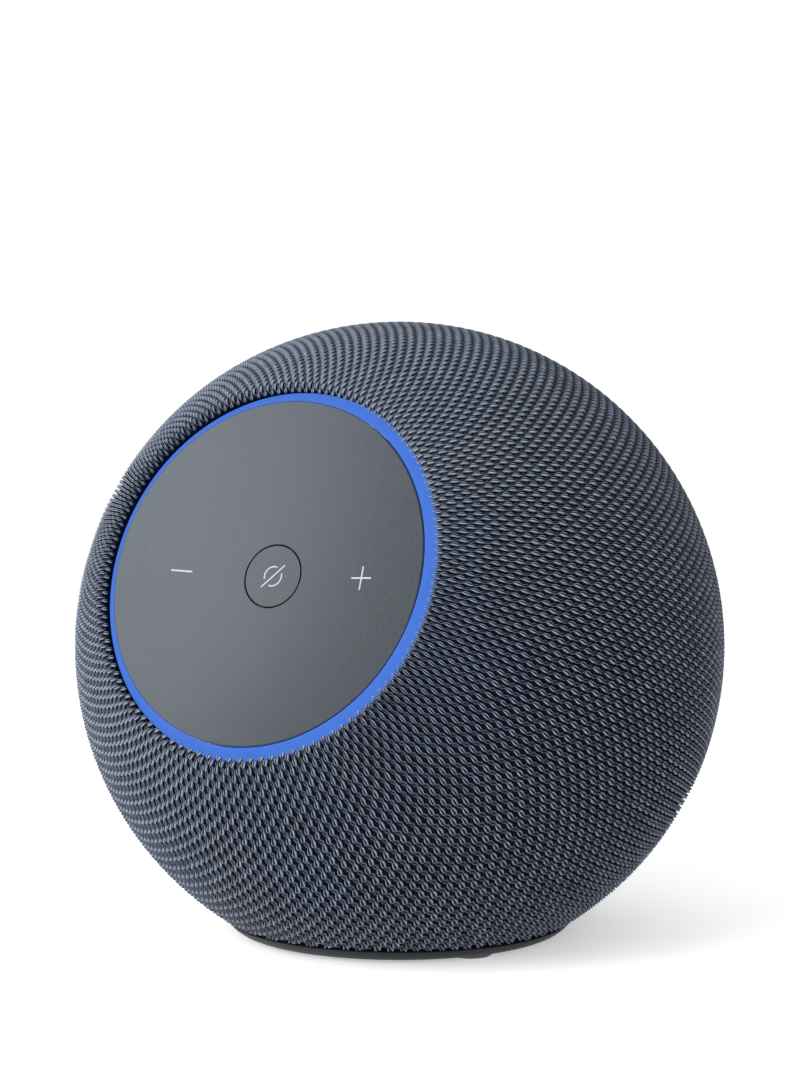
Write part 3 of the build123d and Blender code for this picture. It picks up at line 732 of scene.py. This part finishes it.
def muteKey():
    edge, cut, stem = place["keyRadius"], face["keyEdge"], face["keyStem"]
    top = [(r, dish(r)) for r in np.linspace(0, edge - cut, 9)] + [(edge, dish(edge) - cut)]
    wide = edge + face["keyFlange"][0]
    flange = dishCentre - face["plateThickness"] - face["keyFlangeGap"]
    under = flange - face["keyFlange"][1]
    foot = faceHeight("mute_key", min)
    body = [(edge, flange), (wide, flange), (wide, under), (stem, under), (stem, foot),
            (0.0, foot)]
    return turnedPiece("microphone_key", top + body, place["faceFrame"], 192)


def lightRing():
    low, top = faceHeight("light_ring", min), faceHeight("light_ring", max)
    inner, outer = place["plateRadius"] + face["ringGap"], place["ringOuter"]
    bend = face["ringRound"]
    crown = [(inner + (outer - inner) * t,
              top - face["ringDrop"] * ((1 - bend) * t + bend * t * t))
             for t in np.linspace(0.06, 1, 14)]
    outline = [(inner, low), (inner, top - face["ringCut"])] + crown + [(outer, low)]
    return turnedPiece("glowing_ring", outline, place["faceFrame"])


def onFace(x, y):
    return Vector((x, y, dish(math.hypot(x, y))))


def strokeMark(name, points, width):
    # a thin printed stroke laid along points of the face
    clearSelection()
    bpy.ops.mesh.primitive_plane_add(size=1.0)
    obj = bpy.context.active_object
    obj.name = obj.data.name = name
    half, lift = width / 2, face["markHeight"]
    corners, faces = [], []
    for i, (x, y) in enumerate(points):
        before, after = points[max(i - 1, 0)], points[min(i + 1, len(points) - 1)]
        along = Vector((after[0] - before[0], after[1] - before[1])).normalized()
        aside = Vector((-along.y, along.x)) * half
        for side, rise in ((1, -lift), (1, lift), (-1, lift), (-1, -lift)):
            at = onFace(x + side * aside.x, y + side * aside.y)
            corners.append(at + Vector((0, 0, rise)))
        if i:
            a, b = 4 * (i - 1), 4 * i
            faces += [(a + j, a + (j + 1) % 4, b + (j + 1) % 4, b + j) for j in range(4)]
    faces.append((0, 1, 2, 3))
    end = 4 * (len(points) - 1)
    faces.append((end + 3, end + 2, end + 1, end))
    obj.data.clear_geometry()
    obj.data.from_pydata(corners, [], faces)
    takeUp(obj)
    bpy.ops.object.mode_set(mode="EDIT")
    bpy.ops.mesh.select_all(action="SELECT")
    bpy.ops.mesh.normals_make_consistent(inside=False)
    bpy.ops.object.mode_set(mode="OBJECT")
    settle(obj, place["faceFrame"])
    return obj


def straight(start, end, count=6):
    return [(start[0] + (end[0] - start[0]) * i / count,
             start[1] + (end[1] - start[1]) * i / count) for i in range(count + 1)]


def makeMarks():
    reach, half = face["markReach"], face["minusLength"] / 2
    strokes = {
        "minus_mark": straight((-reach - half, 0), (-reach + half, 0)),
        "plus_mark_across": straight((reach - half, 0), (reach + half, 0)),
        "plus_mark_upright": straight((reach, -half), (reach, half)),
    }
    for name, points in strokes.items():
        give(strokeMark(name, points, face["markWidth"]), "mark", "speaker", "face_plastic")
    keyWidth = face["markWidth"] * face["keyMarkShare"]
    slash = face["slashLength"] / 2 * math.sqrt(0.5)
    keyStrokes = {"key_mark_slash": straight((-slash, -slash), (slash, slash))}
    for name, middle in (("key_mark_left", 135), ("key_mark_right", 315)):
        reachOut = 90 - face["slashGap"] / 2
        keyStrokes[name] = arcPoints((0, 0), face["ringRadius"], middle - reachOut,
                                     middle + reachOut, 20)
    for name, points in keyStrokes.items():
        give(strokeMark(name, points, keyWidth), "mark", "mute_button", "face_plastic")


def makeFace():
    give(controlPlate(), "face_plastic", "speaker", "face_plastic", "control_plate")
    give(muteKey(), "face_plastic", "mute_button", "face_plastic", "mute_key")
    give(lightRing(), "light_guide", "speaker", "light_guide", "light_ring")
    makeMarks()
    print("control face made")


makeFace()


# ---- base, seen as a thin dark rim under the knit ----

base = {
    "cut": 0.16 * mm, "bulge": (0.62, 0.45), "rimWidth": 1.95 * mm, "hemGap": 0.2 * mm,
    "floor": 0.8 * mm,
    "footAngles": (90, 210, 330), "footCircle": 23.0 * mm, "footRadius": 3.7 * mm,
    "footCut": (0.12 * mm, 0.45 * mm, 0.1 * mm), "footTop": 0.95 * mm,
    "footPocket": (0.08 * mm, 1.0 * mm),        # room round it, and depth
    "screwRadius": 1.75 * mm, "screwTurn": 60, "screwPocket": (0.15 * mm, 1.25 * mm),
    "coverGap": 0.15 * mm, "coverCut": 0.15 * mm,
    "coverGroove": (1.6 * mm, 2.2 * mm, 0.35 * mm), "coverSlope": 0.1 * mm,
    "turnSlot": (7.0 * mm, 1.5 * mm, 0.4 * mm),
}


def wedge(start, end, share):
    return start + (end - start) * share


def around(angle):
    # a place on the circle of the feet
    a = math.radians(angle)
    return base["footCircle"] * math.cos(a), base["footCircle"] * math.sin(a)


def baseShell():
    low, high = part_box("base")
    bottom, top = low[2], place["hemHeight"] - base["hemGap"]
    outer = (high[0] - low[0]) / 2
    inner = outer - base["rimWidth"]
    cover = span("service_cover", 0) / 2 + base["coverGap"]
    floor, cut = bottom + base["floor"], base["cut"]
    bend = (wedge(inner, outer, base["bulge"][0]), wedge(bottom, top, base["bulge"][1]))
    outline = [(cover, floor), (cover, bottom + cut), (cover + cut, bottom),
               (inner - cut, bottom), (inner - 0.3 * cut, bottom + 0.12 * cut),
               (inner + 0.3 * cut, bottom + 0.6 * cut)]
    outline += [(wedge(inner, bend[0], t), wedge(bottom, bend[1], t ** 1.15))
                for t in (0.3, 0.55, 0.8)] + [bend]
    outline += [(wedge(bend[0], outer, t ** 0.85), wedge(bend[1], top, t))
                for t in (0.35, 0.7, 0.9)]
    outline += [(outer, top - cut), (outer - 0.3 * cut, top - 0.3 * cut), (outer - cut, top),
                (0.0, top), (0.0, floor)]
    obj = turnedPiece("base_rim", outline, Matrix.Identity(4))
    for angle in base["footAngles"]:
        sinkPocket(obj, base["footRadius"], angle, bottom, *base["footPocket"])
    for angle in base["footAngles"]:
        sinkPocket(obj, base["screwRadius"], angle + base["screwTurn"], bottom,
                   *base["screwPocket"])
    smooth(obj)
    return obj


def sinkPocket(obj, radius, angle, bottom, room, depth):
    # the cutter stands out of the base by a millimetre
    clearSelection()
    bpy.ops.mesh.primitive_cylinder_add(
        vertices=64, radius=radius + room, depth=depth + 1 * mm,
        location=(*around(angle), bottom + (depth - 1 * mm) / 2))
    cutAway(obj, bpy.context.active_object)


def makeFeet(stand):
    radius, top = base["footRadius"], stand + base["footTop"]
    side, edge, rise = base["footCut"]
    outline = [(0.0, 0.0), (radius - edge, 0.0), (radius - side, edge * 0.55),
               (radius, edge + rise), (radius, top), (0.0, top)]
    first = turnedPiece("rubber_foot_1", outline, Matrix.Identity(4), 96)
    feet = [first]
    for number in (2, 3):
        twin = first.copy()
        twin.data = first.data.copy()
        twin.name = twin.data.name = f"rubber_foot_{number}"
        bpy.context.scene.collection.objects.link(twin)
        feet.append(twin)
    for foot, angle in zip(feet, base["footAngles"]):
        settle(foot, Matrix.Translation((*around(angle), 0)))
        give(foot, "foot_rubber", "speaker", "foot_rubber")
    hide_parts("rubber_feet")


def serviceCover(stand):
    low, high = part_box("service_cover")
    radius, top = (high[0] - low[0]) / 2, high[2]
    near, far, deep = base["coverGroove"]
    slope, cut = base["coverSlope"], base["coverCut"]
    outline = [(0.0, stand), (radius - far, stand), (radius - far + slope, stand + deep),
               (radius - near - slope, stand + deep), (radius - near, stand),
               (radius - cut, stand), (radius, stand + cut), (radius, top), (0.0, top)]
    obj = turnedPiece("service_lid", outline, Matrix.Identity(4), 192)
    clearSelection()
    bpy.ops.mesh.primitive_cube_add(size=1.0, location=(0, 0, stand))
    cutter = bpy.context.active_object
    length, width, depth = base["turnSlot"]
    cutter.scale = (length, width, depth * 2)
    cutAway(obj, cutter)
    smooth(obj)
    return obj


def makeBase():
    give(baseShell(), "base_plastic", "speaker", "base_plastic", "base")
    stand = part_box("base")[0][2]
    makeFeet(stand)
    give(serviceCover(stand), "base_plastic", "speaker", "base_plastic", "service_cover")
    print("base made")


makeBase()


# ---- power inlet at the back ----

inlet = {"flat": 6.5 * mm, "recess": 4.2 * mm, "depth": 4.0 * mm, "sink": 0.45 * mm,
         "neck": 9.5 * mm, "bore": 6.603 * mm, "collar": 2 * mm, "rim": 0.9 * mm,
         "cut": 0.2 * mm}


def makeInlet():
    # heights here run out of the back, so the frame is turned about the ball's X axis
    ball, rim, cut = place["radius"], place["bezelRadius"], inlet["cut"]
    recess, neck, bore = inlet["recess"], inlet["neck"], inlet["bore"]
    flat = ball - inlet["sink"]
    floor = flat - inlet["depth"]
    back, edge = floor - inlet["collar"], math.sqrt(ball ** 2 - rim ** 2)
    crown = [(r, math.sqrt(ball ** 2 - r ** 2))
             for r in np.linspace(inlet["flat"] + cut, rim - cut, 12)]
    outline = [(recess, floor), (recess, flat - cut), (recess + cut, flat),
               (inlet["flat"], flat)] + crown
    outline += [(rim, edge - cut), (rim, edge - inlet["rim"]), (neck, edge - inlet["rim"]),
                (neck, back), (bore, back), (bore, floor)]
    where = place["faceFrame"] @ Matrix.Rotation(math.pi, 4, "X")
    trim = turnedPiece("inlet_trim", outline, where)
    give(trim, "base_plastic", "speaker", "base_plastic", "inlet_bezel")
    print("inlet made")


makeInlet()


addCamera()
addLamps()
addFloor()
bpy.context.scene.view_settings.view_transform = "Standard"
